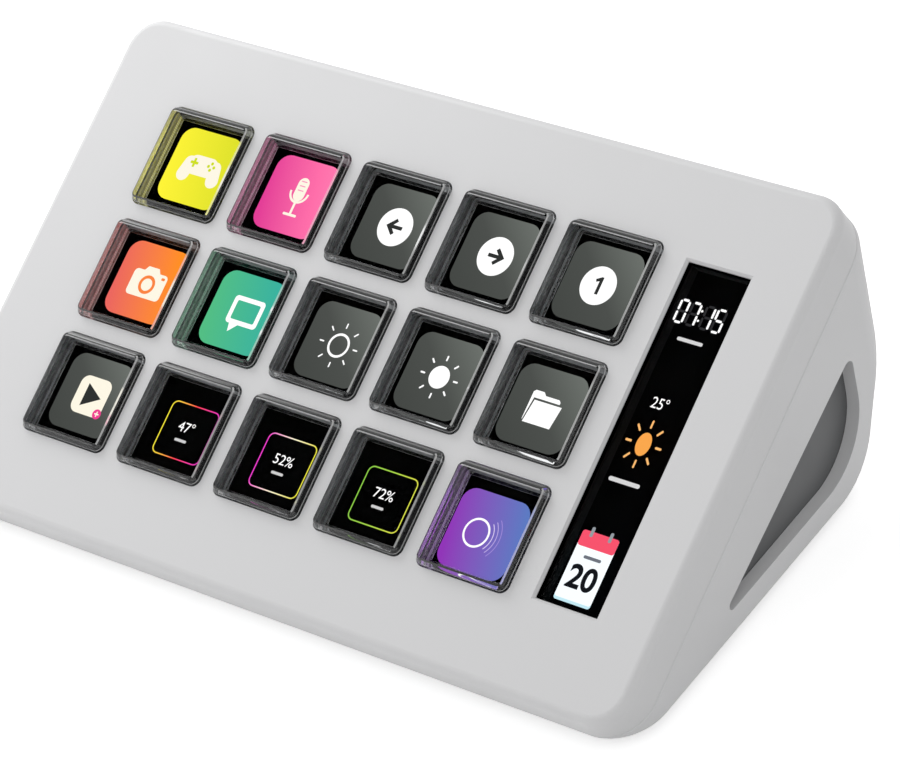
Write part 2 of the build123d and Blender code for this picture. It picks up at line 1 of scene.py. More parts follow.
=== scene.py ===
# %% [markdown]
# # A wedge keypad with clear keys over a lit display
#
# The keypad is a pale moulded wedge with fifteen clear acrylic keys in three rows, a tall display
# strip beside them and a dark recess in each side. One display lies under all the keys, and each
# key is a thick clear block that shows the picture below it. The shapes come from the CAD frame.
# What Blender adds is the look: plastic, clear acrylic that bends the light, lit pictures, screws
# and a socket with their small details, and soft studio light.

import json
import math

import bpy
from mathutils import Matrix, Vector


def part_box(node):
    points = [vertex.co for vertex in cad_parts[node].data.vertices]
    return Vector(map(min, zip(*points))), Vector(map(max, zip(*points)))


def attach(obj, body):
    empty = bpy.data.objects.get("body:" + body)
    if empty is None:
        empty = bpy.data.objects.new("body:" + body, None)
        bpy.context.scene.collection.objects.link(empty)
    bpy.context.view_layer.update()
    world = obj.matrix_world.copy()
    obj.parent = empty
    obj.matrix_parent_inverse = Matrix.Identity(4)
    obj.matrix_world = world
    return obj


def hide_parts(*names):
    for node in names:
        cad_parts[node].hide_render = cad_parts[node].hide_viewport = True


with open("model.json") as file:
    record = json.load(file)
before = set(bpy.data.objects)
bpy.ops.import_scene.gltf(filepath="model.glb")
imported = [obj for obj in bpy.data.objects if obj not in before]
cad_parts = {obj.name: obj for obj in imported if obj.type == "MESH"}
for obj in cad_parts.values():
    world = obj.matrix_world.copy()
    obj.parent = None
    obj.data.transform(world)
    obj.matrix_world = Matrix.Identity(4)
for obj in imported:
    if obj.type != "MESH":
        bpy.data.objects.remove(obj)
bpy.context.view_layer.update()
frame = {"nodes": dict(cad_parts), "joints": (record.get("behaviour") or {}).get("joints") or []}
nodes = frame["nodes"]

# %% [markdown]
# ## A frame of its own for the sloping face
#
# Keys, pictures and the strip all lie along the face, which slopes towards the user. It is much
# easier to build them in millimetres on a flat face and to tilt the finished mesh. The direction
# in which a key is pressed is known from its joint, and it points straight into the face, so it
# gives the tilt. The middle key and the front shell's highest point give the origin.

# %% The face frame
MM = 0.001
ROWS = range(1, 4)
COLUMNS = range(1, 6)

out = -Vector(frame["joints"][0]["axis"]).normalized()
right = Vector((1, 0, 0))
upward = out.cross(right)


def extent(node, direction):
    """Lowest and highest reach of a CAD node along a direction, in metres."""
    reach = [v.co.dot(direction) for v in nodes[node].data.vertices]
    return min(reach), max(reach)


def middle(node, direction):
    return sum(extent(node, direction)) / 2


middle_key = "key_2_3"
face_level = extent("front_shell", out)[1]
face_origin = (
    right * middle(middle_key, right) + upward * middle(middle_key, upward) + out * face_level
)
face_to_world = Matrix.Translation(face_origin) @ (
    Matrix((right, upward, out)).transposed().to_4x4() @ Matrix.Scale(MM, 4)
)


def on_face(x, y, z=0.0):
    """A point given in millimetres on the face, from the middle key's centre, in the world."""
    return face_to_world @ Vector((x, y, z))


def from_face(node, direction):
    """Lowest and highest reach of a CAD node in the face frame, in millimetres."""
    start = face_origin.dot(direction)
    return [(reach - start) / MM for reach in extent(node, direction)]


def centre(node):
    """The middle of a CAD node, as its x and y on the face."""
    return tuple(sum(from_face(node, direction)) / 2 for direction in (right, upward))


tilt = math.degrees(math.asin(-out.y))
key_spacing = (middle("key_2_4", right) - middle(middle_key, right)) / MM
glass_level = from_face("lcd_glass", out)[1]
print(f"face tilted {tilt:.1f} degrees, keys every {key_spacing:.1f} mm")
print(f"display glass {-glass_level:.2f} mm below the face")

# %% [markdown]
# ## Nodes, colours and patterns
#
# Nearly every finish here is a small node tree round one Principled shader. One function adds a
# node, sets its values and links its inputs, so a material reads as a list of its layers. Colours
# are written as the hex values that a colour picker shows, and one function turns them to the
# linear values that a renderer works with.

# %% Node and colour helpers


def linear(hex_colour):
    """An sRGB hex colour as linear red, green, blue and alpha."""
    channels = [int(hex_colour[i : i + 2], 16) / 255 for i in (1, 3, 5)]
    return [c / 12.92 if c <= 0.04045 else ((c + 0.055) / 1.055) ** 2.4 for c in channels] + [1]


def add(tree, kind, settings=None, **inputs):
    """Adds a node. A value that is a socket is linked, and any other value is set."""
    node = tree.nodes.new("ShaderNode" + kind)
    for name, value in (settings or {}).items():
        setattr(node, name, value)
    for name, value in inputs.items():
        key = int(name[1:]) if name[0] == "_" else name.replace("_", " ")
        socket = node.inputs[key]
        if isinstance(value, bpy.types.NodeSocket):
            tree.links.new(value, socket)
        else:
            socket.default_value = value
    return node


def blank(name):
    """A material with an empty node tree, and that tree."""
    material = bpy.data.materials.new(name)
    material.use_nodes = True
    material.node_tree.nodes.clear()
    return material, material.node_tree


def finish(name, colour, roughness, **inputs):
    """A material with one Principled shader, its node tree and the shader."""
    material, tree = blank(name)
    shader = add(
        tree, "BsdfPrincipled", Base_Color=linear(colour), Roughness=roughness, **inputs
    )
    add(tree, "OutputMaterial", Surface=shader.outputs["BSDF"])
    return material, tree, shader


def place(tree):
    """Where a point of the surface lies, in the world's metres at rest."""
    return add(tree, "TexCoord").outputs["Object"]


def grain(tree, size_mm, detail=2.0):
    """Noise whose blobs are about size_mm across."""
    return add(
        tree, "TexNoise", Vector=place(tree), Scale=1 / (2 * size_mm * MM), Detail=detail
    ).outputs["Fac"]


def streaks(tree, *sizes_mm):
    """Noise whose blobs have a size of their own along x, y and z."""
    scale = [1 / (size * MM) for size in sizes_mm]
    stretched = add(tree, "Mapping", Vector=place(tree), Scale=scale).outputs["Vector"]
    return add(tree, "TexNoise", Vector=stretched, Scale=1.0).outputs["Fac"]


def relief(tree, shader, height, depth_mm):
    """Bump that a height of 0 to 1 raises by depth_mm."""
    bump = add(tree, "Bump", Height=height, Distance=depth_mm * MM, Strength=1.0)
    tree.links.new(bump.outputs["Normal"], shader.inputs["Normal"])


def wear(tree, shader, low, high, size_mm):
    """Roughness that drifts between two values over patches of size_mm."""
    patch = add(
        tree, "MapRange", Value=grain(tree, size_mm), From_Min=0.3, From_Max=0.7,
        To_Min=low, To_Max=high,
    )
    tree.links.new(patch.outputs["Result"], shader.inputs["Roughness"])


def dress(material, *names):
    """Gives CAD nodes a material."""
    for name in names:
        nodes[name].data.materials.clear()
        nodes[name].data.materials.append(material)
    print(material.name, "->", ", ".join(names))


# %% [markdown]
# ## The housing: moulded ABS
#
# Both shells are injection-moulded ABS in a neutral pale grey. The tool was spark-eroded, which
# leaves a very fine even grain. From arm's length the eye reads that as a soft satin with a wide,
# faint highlight. The real grain is near 0.05 mm and would vanish between pixels, so bump draws it
# at 0.12 mm, kept shallow. Patches of slightly different roughness stop it from looking computed.

# %% Moulded ABS
spark_grain_mm, spark_depth_mm = 0.12, 0.004
patch_mm, patch_drift = 6.0, 0.05


def moulded_abs(name, colour, roughness):
    material, tree, shader = finish(name, colour, roughness, IOR=1.54)
    relief(tree, shader, grain(tree, spark_grain_mm), spark_depth_mm)
    wear(tree, shader, roughness - patch_drift, roughness + patch_drift, patch_mm)
    return material


housing_plastic = moulded_abs("housing_moulded_abs", "#D6D6D7", 0.52)
panel_plastic = moulded_abs("panel_dark_abs", "#5E5F60", 0.55)
dress(housing_plastic, "front_shell", "rear_shell")
dress(panel_plastic, "side_panel_left", "side_panel_right")

# %% [markdown]
# ## What lies under the keys
#
# Under the face lie a black silicone mat with a springy ridge round each window, the black-printed
# polyester film with the contacts, a foam frame round the strip, and the display's own glass,
# which is near black where no picture is lit. These are dark so that no light leaks from one key
# to the next, and each gets the one pattern that its making leaves on it.

# %% Silicone, film, foam and glass


def mat_silicone():
    """Compression-moulded silicone: dark, soft sheen, dusty to the touch."""
    material, tree, shader = finish("mat_black_silicone", "#17181A", 0.62, IOR=1.41)
    relief(tree, shader, grain(tree, 0.2), 0.004)
    return material


def switch_film():
    """Polyester sheet printed black: smooth and a little glossy."""
    return finish("switch_film_printed_polyester", "#131416", 0.3, IOR=1.57)[0]


def gasket_foam():
    """Closed-cell foam: matt, with open bubbles where it was cut."""
    material, tree, shader = finish("gasket_cell_foam", "#101011", 0.95, IOR=1.4)
    cells = add(
        tree, "TexVoronoi", {"feature": "SMOOTH_F1"}, Vector=place(tree), Scale=1 / (0.3 * MM)
    )
    relief(tree, shader, cells.outputs["Distance"], 0.03)
    return material


def display_glass():
    """Float glass over an unlit panel: near black, with a coat that mirrors nothing."""
    return finish(
        "display_glass", "#060607", 0.12, IOR=1.5,
        Specular_IOR_Level=0.0, Specular_Tint=linear("#000000"),
    )[0]


dress(mat_silicone(), "key_mat")
dress(switch_film(), "contact_film")
dress(gasket_foam(), "strip_gasket")
dress(display_glass(), "lcd_glass")

# %% [markdown]
# ### Metal, board and cables
#
# Behind the glass come an aluminium tray, a zinc-plated bracket, the green board and its cables.
# Only an opened keypad shows them, so each has its real material with one plain pattern.

# %% Metal, board and cables


def pressed_aluminium():
    """Rolled aluminium sheet: satin, with fine lines along the rolling direction."""
    material, tree, shader = finish("tray_rolled_aluminium", "#C9CACB", 0.35, Metallic=1.0)
    relief(tree, shader, streaks(tree, 4.0, 0.1, 1000), 0.003)
    return material


def zinc_steel(name):
    """Zinc-plated steel: a cool grey metal whose plating dulls in patches."""
    material, tree, shader = finish(name, "#B4B7BA", 0.32, Metallic=1.0)
    wear(tree, shader, 0.26, 0.42, size_mm=1.5)
    return material


def board_laminate():
    """Glass-fibre laminate under a green solder mask, which follows the woven glass a little."""
    material, tree, shader = finish("board_solder_mask", "#1B5A3A", 0.35, IOR=1.5)
    weave = add(
        tree, "TexWave", {"bands_direction": "DIAGONAL"}, Vector=place(tree),
        Scale=1 / (20 * 0.5 * MM), Distortion=1.0,
    )
    relief(tree, shader, weave.outputs["Fac"], 0.005)
    return material


def moulded_epoxy():
    """Filled epoxy of the chips: matt black with a fine sparkle."""
    material, tree, shader = finish("chip_moulded_epoxy", "#1F2022", 0.6, IOR=1.55)
    relief(tree, shader, grain(tree, 0.1), 0.004)
    return material


def moulded_nylon():
    """Unfilled nylon of the cable connectors: ivory, slightly translucent."""
    return finish(
        "connector_moulded_nylon", "#E6DFCB", 0.4, IOR=1.53,
        Subsurface_Weight=0.15, Subsurface_Scale=0.5 * MM,
    )[0]


def polyimide_film():
    """Polyimide of the flat cables: amber and glossy, with the copper showing as bands."""
    material, tree, shader = finish("ribbon_polyimide", "#B87A2E", 0.25, IOR=1.7)
    tracks = add(
        tree, "TexWave", {"bands_direction": "X"}, Vector=place(tree), Scale=1 / (20 * 1.0 * MM)
    )
    copper = add(
        tree, "Mix", {"data_type": "RGBA"}, Factor=tracks.outputs["Fac"],
        _6=linear("#C08434"), _7=linear("#9C5F22"),
    )
    tree.links.new(copper.outputs[2], shader.inputs["Base Color"])
    return material


screw_steel = zinc_steel("screw_zinc_steel")
dress(pressed_aluminium(), "backlight_tray")
dress(zinc_steel("bracket_zinc_steel"), "lcd_bracket")
dress(screw_steel, "bracket_screws", "board_screws")
dress(board_laminate(), "main_board")
dress(moulded_epoxy(), "board_chips")
dress(moulded_nylon(), "ribbon_connectors")
dress(polyimide_film(), "display_ribbon", "key_ribbon")

# %% [markdown]
# ## Rubber feet
#
# Four pads of black rubber carry the wedge. They were die-cut from sheet, so their surface is
# plain and dull, with a slight unevenness that the light only just finds.

# %% Rubber


def foot_rubber():
    material, tree, shader = finish("foot_die_cut_rubber", "#1C1C1D", 0.8, IOR=1.52)
    relief(tree, shader, grain(tree, 0.4), 0.01)
    return material


dress(foot_rubber(), "rubber_feet")

# %% [markdown]
# ## Outlines
#
# Nearly everything on the face starts as a flat outline: a rounded square, a disc, a bar or a
# polygon. Each is a plain list of points, which is easy to turn, to move and to pass on.

# %% Outline helpers


def arc(x, y, radius, start, end, steps):
    """Points along an arc, its ends included, with angles in degrees."""
    turns = [math.radians(start + (end - start) * i / steps) for i in range(steps + 1)]
    return [(x + radius * math.cos(t), y + radius * math.sin(t)) for t in turns]


def disc(x, y, radius, steps=48):
    return arc(x, y, radius, 0, 360, steps)[:-1]


def rounded(x, y, width, height, radius, steps=6):
    """A rounded rectangle about a middle point, counter-clockwise from its right side."""
    reach_x, reach_y = width / 2 - radius, height / 2 - radius
    return [
        point
        for i, (side_x, side_y) in enumerate([(1, 1), (-1, 1), (-1, -1), (1, -1)])
        for point in arc(
            x + side_x * reach_x, y + side_y * reach_y, radius, 90 * i, 90 * i + 90, steps
        )
    ]


def turned(outline, degrees, x=0.0, y=0.0):
    """The outline turned about a point."""
    c, s = math.cos(math.radians(degrees)), math.sin(math.radians(degrees))
    return [(x + c * (u - x) - s * (v - y), y + s * (u - x) + c * (v - y)) for u, v in outline]


def moved(outline, x, y):
    return [(u + x, v + y) for u, v in outline]


# %% [markdown]
# ## Meshes
#
# Two helpers turn outlines into meshes. One joins a stack of equal rings into a solid, which suits
# a key cap. The other fills outlines as a flat figure, which suits a lit picture, and an outline
# inside another cuts a hole. A filled 2D curve does that and sorts out concave shapes.

# %% Mesh helpers


def in_scene(name, data):
    """A new object in the scene."""
    made = bpy.data.objects.new(name, data)
    bpy.context.scene.collection.objects.link(made)
    return made


def mesh_of(name, points, faces, kinds):
    """A mesh. kinds gives the number of each face's material."""
    mesh = bpy.data.meshes.new(name)
    mesh.from_pydata(points, [], faces)
    for polygon, kind in zip(mesh.polygons, kinds):
        polygon.material_index = kind
    return mesh


def piece(name, mesh, body, materials, sharp_degrees=30, to_world=face_to_world):
    """Moves a mesh into place, shades it and lets it ride on a CAD body."""
    for material in materials:
        mesh.materials.append(material)
    mesh.transform(to_world)
    mesh.shade_smooth()
    mesh.set_sharp_from_angle(angle=math.radians(sharp_degrees))
    shown = in_scene(name, mesh)
    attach(shown, body)
    return shown


def at_level(outline, level):
    return [(u, v, level) for u, v in outline]


def wall_kinds(kind, count):
    """A wall's material all round, or one each for its right, back, left and front side."""
    if isinstance(kind, int):
        return [kind] * count
    return [kind[(2 * i + count // 4) // (count // 2) % 4] for i in range(count)]


def stacked(rings, kinds):
    """A solid through rings of equal length: its points, its faces and each face's material.

    kinds gives the material of its foot, of each wall between two rings, and of its top.
    """
    count = len(rings[0])
    points = [point for ring in rings for point in ring]
    faces = [tuple(reversed(range(count)))]
    for level in range(len(rings) - 1):
        low, high = level * count, (level + 1) * count
        for i in range(count):
            j = (i + 1) % count
            faces.append((low + i, low + j, high + j, high + i))
    faces.append(tuple(range(len(points) - count, len(points))))
    walls = [wall for kind in kinds[1:-1] for wall in wall_kinds(kind, count)]
    return points, faces, [kinds[0], *walls, kinds[-1]]


def solid(name, *parts):
    """One mesh from stacked solids."""
    points, faces, kinds = [], [], []
    for part_points, part_faces, part_kinds in parts:
        faces += [tuple(len(points) + i for i in face) for face in part_faces]
        points += part_points
        kinds += part_kinds
    return mesh_of(name, points, faces, kinds)


def figure_points(curve):
    """Points and faces of a filled curve or text, which is deleted."""
    helper = in_scene(curve.name, curve)
    bpy.context.view_layer.update()
    filled = bpy.data.meshes.new_from_object(
        helper.evaluated_get(bpy.context.evaluated_depsgraph_get())
    )
    points = [(v.co.x, v.co.y) for v in filled.vertices]
    faces = [tuple(polygon.vertices) for polygon in filled.polygons]
    bpy.data.objects.remove(helper)
    bpy.data.meshes.remove(filled)
    bpy.data.curves.remove(curve)
    return points, faces


def filled(*outlines):
    """A flat figure inside the outlines, with a hole where one lies inside another."""
    curve = bpy.data.curves.new("outline", "CURVE")
    curve.dimensions = "2D"
    curve.fill_mode = "BOTH"
    for outline in outlines:
        spline = curve.splines.new("POLY")
        spline.points.add(len(outline) - 1)
        for point, (x, y) in zip(spline.points, outline):
            point.co = (x, y, 0, 1)
        spline.use_cyclic_u = True
    return figure_points(curve)


def lettering(text, height, x, y, weight=0.0, squeeze=1.0):
    """Plain numbers about a middle point, with capitals of the given height."""
    capital_share = 0.69  # a capital's height as a share of the built-in font's size
    curve = bpy.data.curves.new("number", "FONT")
    curve.body = text
    curve.size = height / capital_share
    curve.align_x = "CENTER"
    curve.offset = weight
    curve.fill_mode = "FRONT"
    points, faces = figure_points(curve)
    return [(x + squeeze * u, y + v - height / 2) for u, v in points], faces


# %% [markdown]
# ## Acrylic
#
# Each key is a clear block almost five millimetres thick, and each of its surfaces was finished in
# its own way. Top and foot are polished and coated, so they only bend the light: the picture shows
# sharp and seems to float closer than it is. A Refraction shader does just that. The walls are
# smooth but not polished, and the foot's border and the flange are ground to a frost. Light that
# falls on them from outside glows through, which a Translucent shader mixed in gives.

# %% Acrylic
acrylic_ior = 1.49
skin_colour = "#E8EBEE"


def acrylic(name, roughness, clear, colour=skin_colour):
    """Acrylic that passes a clear share of the light and spreads the rest."""
    return finish(
        name, colour, roughness, IOR=acrylic_ior,
        Transmission_Weight=clear,
    )[0]


def coated(name):
    """Polished acrylic with an anti-reflection coat: it bends light and mirrors none of it."""
    material, tree = blank(name)
    through = add(tree, "BsdfRefraction", Color=linear("#FFFFFF"), Roughness=0.0, IOR=acrylic_ior)
    add(tree, "OutputMaterial", Surface=through.outputs["BSDF"])
    return material


def ground(name, roughness, clear, milky, glow="#000000", share=0.0):
    """Acrylic that also passes a milky share of the light that falls on its far side.

    It may carry a painted glow, an emission in the glow's colour that stands in for the light of
    the picture beside it.
    """
    material, tree = blank(name)
    skin = add(
        tree, "BsdfPrincipled", Base_Color=linear(skin_colour), Roughness=roughness,
        IOR=acrylic_ior, Transmission_Weight=clear, Emission_Color=linear(glow),
        Emission_Strength=share,
    )
    through = add(tree, "BsdfTranslucent", Color=linear("#F4F6F8"))
    blend = add(tree, "MixShader", _0=milky, _1=skin.outputs[0], _2=through.outputs[0])
    add(tree, "OutputMaterial", Surface=blend.outputs[0])
    return material


smooth_wall = {"roughness": 0.1, "clear": 0.96, "milky": 0.08}
frosted_wall = {"roughness": 0.4, "clear": 0.5, "milky": 0.35}
polished = coated("key_polished_acrylic")
side = ground("key_side_acrylic", **smooth_wall)
frosted = ground("key_frosted_acrylic", **frosted_wall)
bevelled = acrylic("key_bevel_acrylic", 0.02, 0.98)
# Painted highlight and painted shade for the broken edges: milky white and dark acrylic.
painted_highlight = acrylic("key_painted_highlight_acrylic", 0.25, 0.62, "#FFFFFF")
shaded = finish("key_shaded_edge", "#1B1C1D", 0.15, IOR=acrylic_ior)[0]

# %% [markdown]
# ## Key caps
#
# The edges round a cap's bevel are broken, which is too narrow for the light in them to be traced.
# Each side of such an edge gets the tone that it shows instead: a painted highlight of milky white
# on the right and in front, a painted shade of dark acrylic at the back and on the left. A thin
# painted highlight line behind the top's back edge is drawn in the same way, and a thin bright line
# in the foot's border is a band of frosted acrylic. Beside a coloured picture the left wall and
# that line get a painted glow, an emission in the picture's colour. All the skins lie on one mesh,
# whose rings come from the levels of the CAD cap, so that a cap fills exactly the space of its
# solid.

# %% Caps
cap_corner = 1.2
corner_steps = 6
# Kinds five and six are a painted highlight and a painted shade; the last two carry a painted glow.
POLISHED, SIDE, FROSTED, BEVELLED, PAINTED_HIGHLIGHT, SHADED, PAINTED_GLOW_SIDE, PAINTED_GLOW_LINE = range(8)
broken_edge = 0.14  # width of the rounding along the bevel's two edges
border_line = 0.45, 0.85  # a brighter line in the foot's border, from the cap's side
# The back line is a painted highlight on the polished top, inside its back edge.
back_highlight_line = 0.3, 0.48  # a brighter line inside the top's back edge
smooth_painted_glow_share = 0.25  # glow of the smooth wall, as a share of the frosted one's
# Painted glow in the left side of the caps beside coloured pictures, standing in for the
# pictures' light: name, colour and strength
painted_glows = {
    (1, 1): ("lime", "#F8F084", 0.42),
    (1, 2): ("pink", "#E286B0", 0.40),
    (2, 1): ("salmon", "#E89592", 0.40),
    (2, 2): ("green", "#8CC8A4", 0.30),
    (3, 5): ("violet", "#AC83C4", 0.27),
}


def cap_levels(node):
    """The levels of the cap's corners, from foot to top, with its width at each, to 0.05 mm."""
    widths = {}
    for vertex in nodes[node].data.vertices:
        level, across = ((vertex.co - face_origin).dot(d) / MM for d in (out, right))
        level = round(20 * level) / 20
        widths[level] = max(widths.get(level, 0), round(2 * abs(across), 1))
    return sorted(widths.items())


levels = cap_levels(middle_key)
(foot_level, cap_width), (window_level, window_width), (flange_foot, flange_width) = levels[:3]
(flange_top, _), (shoulder_level, _) = levels[3:5]
top_level, top_width = levels[-1]
print(f"cap {cap_width} mm wide from {foot_level} to {top_level}, its top {top_width} mm wide")


def cap_ring(x, y, width, level):
    """A ring round the cap, whose corners keep one middle as the width shrinks or grows."""
    corner = max(cap_corner + (width - cap_width) / 2, 0.1)
    return at_level(rounded(x, y, width, width, corner, corner_steps), level)


def left_skins(row, column):
    """The left side's two skins, which get a painted glow where the picture is coloured."""
    if (row, column) not in painted_glows:
        return side, frosted
    name, colour, share = painted_glows[row, column]
    return (
        ground(f"key_side_{name}", **smooth_wall, glow=colour, share=smooth_painted_glow_share * share),
        ground(f"key_frosted_{name}", **frosted_wall, glow=colour, share=share),
    )


def key_cap(row, column):
    """A clear block with a window in its foot, a flange and a steep bevel.

    Each row of the profile holds a ring's width and level and the kind of the surface above it.
    Four kinds stand for its right, back, left and front side.
    """
    name = f"key_{row}_{column}"
    x, y = centre(name)
    slope = (cap_width - top_width) / 2 / (top_level - shoulder_level)
    walls = (SIDE, SIDE, PAINTED_GLOW_SIDE, SIDE)
    profile = [
        (window_width, window_level, FROSTED),
        (window_width, foot_level, walls),
        (cap_width - 2 * border_line[1], foot_level, (FROSTED, FROSTED, PAINTED_GLOW_LINE, FROSTED)),
        (cap_width - 2 * border_line[0], foot_level, walls),
        (cap_width, foot_level, walls),
        (cap_width, flange_foot, FROSTED),
        (flange_width, flange_foot, FROSTED),
        (flange_width, flange_top, FROSTED),
        (cap_width, flange_top, walls),
        (cap_width, shoulder_level - broken_edge / 2, (PAINTED_HIGHLIGHT, SHADED, SHADED, PAINTED_HIGHLIGHT)),
        (
            cap_width - slope * broken_edge, shoulder_level + broken_edge / 2,
            (BEVELLED, SHADED, SHADED, BEVELLED),
        ),
        (
            top_width + 2 * slope * broken_edge, top_level - broken_edge,
            (PAINTED_HIGHLIGHT, SHADED, SHADED, SHADED),
        ),
        (top_width - 2 * broken_edge, top_level, (POLISHED, SHADED, POLISHED, POLISHED)),
        (top_width - 2 * back_highlight_line[0], top_level, (POLISHED, PAINTED_HIGHLIGHT, POLISHED, POLISHED)),
        (top_width - 2 * back_highlight_line[1], top_level, POLISHED),
    ]
    rings = [cap_ring(x, y, width, level) for width, level, _ in profile]
    mesh = solid(name + "_cap", stacked(rings, [POLISHED] + [kind for *_, kind in profile]))
    cap = piece(
        name + "_cap", mesh, name,
        (polished, side, frosted, bevelled, painted_highlight, shaded, *left_skins(row, column)),
        sharp_degrees=20,
    )
    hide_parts(name)


for row in ROWS:
    for column in COLUMNS:
        key_cap(row, column)
print(len(ROWS) * len(COLUMNS), "caps made")

# %% [markdown]
# ## The strip's lens
#
# The strip has a flat clear lens with the same coat as the caps, so the display behind it looks
# black and not hazy. Its shape is plain, so the CAD lens stays as it is and only gets a material.

# %% Lens
dress(coated("lens_coated_acrylic"), "strip_lens")

# %% [markdown]
# ## Lit pictures
#
# A display picture is light, not paint, so each colour is an emitting surface whose strength makes
# it look as it is written. Tiles that fade from one colour to another run through a colour ramp
# along a line on the face.

# %% Lit colours
lit_strength = 1.08  # makes up for what the acrylic swallows


def emitter(name, **inputs):
    """A black surface that gives off light and mirrors none."""
    return finish(
        "lit_" + name, "#000000", 0.6, Specular_IOR_Level=0.0,
        Emission_Strength=lit_strength, **inputs,
    )


def lit(name, colour):
    """A lit area of one colour."""
    return emitter(name, Emission_Color=linear(colour))[0]


def lit_fade(name, stops, start, end):
    """A lit area whose colour runs through stops from one point of the face to another."""
    material, tree, shader = emitter(name)
    first, last = on_face(*start, glass_level), on_face(*end, glass_level)
    line = (last - first) / (last - first).length_squared
    offset = add(tree, "VectorMath", {"operation": "SUBTRACT"}, _0=place(tree), _1=first)
    share = add(
        tree, "VectorMath", {"operation": "DOT_PRODUCT"}, _0=offset.outputs["Vector"], _1=line
    )
    ramp = add(tree, "ValToRGB", Fac=share.outputs["Value"])
    spots = ramp.color_ramp.elements
    spots.remove(spots[1])
    for i, colour in enumerate(stops):
        position = i / (len(stops) - 1)
        spot = spots.new(position) if i else spots[0]
        spot.position = position
        spot.color = linear(colour)
    tree.links.new(ramp.outputs["Color"], shader.inputs["Emission Color"])
    return material


white = lit("white", "#FFFFFF")
cream = lit("cream", "#F6F0DE")

# %% [markdown]
# ### Where a picture lies
#
# The display's grid of pictures is a little tighter than the grid of keys, and some pictures don't
# sit quite in its middle, so a place is the grid's plus a nudge. All the figures of a picture go on
# one mesh. They lie a hundredth of a millimetre apart above the glass, in the order in which they
# are drawn.

# %% Pictures
layer_step = 0.01
picture_spacing = 17.8  # from column to column
picture_shift = (-0.3, -0.2)
picture_nudges = {
    (1, 1): (-0.4, 0.4), (1, 2): (0, 0.4), (1, 3): (0.15, 0.3), (1, 4): (0, 0.3),
    (1, 5): (-0.25, 0.3), (2, 1): (-0.1, 0.3), (2, 2): (0.1, 0.2), (2, 5): (-0.15, 0),
    (3, 1): (-0.4, 0.3), (3, 5): (-0.25, -0.5),
}
tile_size = 11.35
tile_shift = (-0.15, 0.1)
tile_corner = 2.1


def picture_middle(row, column):
    """Where the display shows a key's picture, in the face frame."""
    nudge_x, nudge_y = picture_nudges.get((row, column), (0, 0))
    x = (column - 3) * picture_spacing + picture_shift[0] + nudge_x
    return x, centre(f"key_{row}_{column}")[1] + picture_shift[1] + nudge_y


def sized(marks, scale, x=0.0, y=0.0):
    """Figures scaled about the picture's middle and then moved."""
    return [
        (material, ([(scale * u + x, scale * v + y) for u, v in flat], faces))
        for material, (flat, faces) in marks
    ]


def picture(name, x, y, marks, base=glass_level, step=layer_step):
    """One mesh of flat figures, each with its own lit material, drawn about a middle point."""
    points, faces, kinds, materials = [], [], [], []
    for layer, (material, (flat, figure_faces)) in enumerate(marks, start=1):
        if material not in materials:
            materials.append(material)
        first = len(points)
        level = base + layer * step
        points += [(x + u, y + v, level) for u, v in flat]
        faces += [tuple(first + i for i in face) for face in figure_faces]
        kinds += [materials.index(material)] * len(figure_faces)
    mesh = mesh_of(name, points, faces, kinds)
    return piece(name, mesh, "housing", materials)


def tile(row, column, name, stops, rise=0.25):
    """The rounded square behind a picture. It fades from left to right, along a rising line."""
    x, y = picture_middle(row, column)
    half = tile_size / 2
    material = lit_fade(name, stops, (x - half, y - rise * half), (x + half, y + rise * half))
    return material, filled(rounded(*tile_shift, tile_size, tile_size, tile_corner))


def dark_tile_painted_reflection(row, column, name):
    """A grey tile whose lighter upper right corner is a painted reflection in the cap's top."""
    # The grey is the tile's own; the lighter last stop is the painted reflection.
    return tile(row, column, name, ("#414441", "#4A4D4A", "#6C716C"), rise=1.0)


# %% [markdown]
# ### The picture on each key
#
# The pictures are the generic ones of such a keypad: a gamepad, a microphone, arrows, a page
# number, a camera, a speech bubble, lamp brightness, a folder, a video, three gauges and a ripple.
# Each is a short list of figures in millimetres about the picture's middle. Made of outlines, they
# stay sharp from as close as anyone looks.

# %% Top row
lime = lit("lime", "#C9D820")
ink = lit("ink", "#2E302F")
round_plate = filled(disc(0, 0, 3.25))


def inked(material, *figures):
    """Figures that share one lit material."""
    return [(material, figure) for figure in figures]


def plus(x, y, length, width, radius):
    """The two bars of an upright cross."""
    return [filled(rounded(x, y, w, h, radius)) for w, h in ((length, width), (width, length))]


def gamepad():
    body = filled(rounded(0, 0.5, 6.4, 3.6, 1.6))
    grips = [
        filled(turned(rounded(2.9 * s, -0.5, 2.6, 4.8, 1.25), 14 * s, 2.9 * s)) for s in (-1, 1)
    ]
    spots = (0.6, 0), (-0.6, 0), (0, 0.6), (0, -0.6)
    buttons = [filled(disc(1.9 + u, 0.8 + v, 0.3)) for u, v in spots]
    return inked(cream, body, *grips) + inked(lime, *plus(-1.9, 0.8, 1.7, 0.5, 0.15), *buttons)


def microphone():
    capsule = filled(rounded(0, 1.4, 2.2, 4.2, 1.1))
    yoke = filled(arc(0, 0.9, 2.0, 180, 360, 24) + arc(0, 0.9, 1.6, 360, 180, 24))
    stem = filled(rounded(0, -2.1, 0.45, 2.2, 0.1))
    base = filled(rounded(0, -3.2, 2.8, 0.45, 0.2))
    slots = [filled(rounded(0, 1.2 + 0.8 * i, 1.2, 0.18, 0.08)) for i in range(3)]
    return inked(cream, capsule, yoke, stem, base) + inked(lit("mic_slot", "#F08AB4"), *slots)


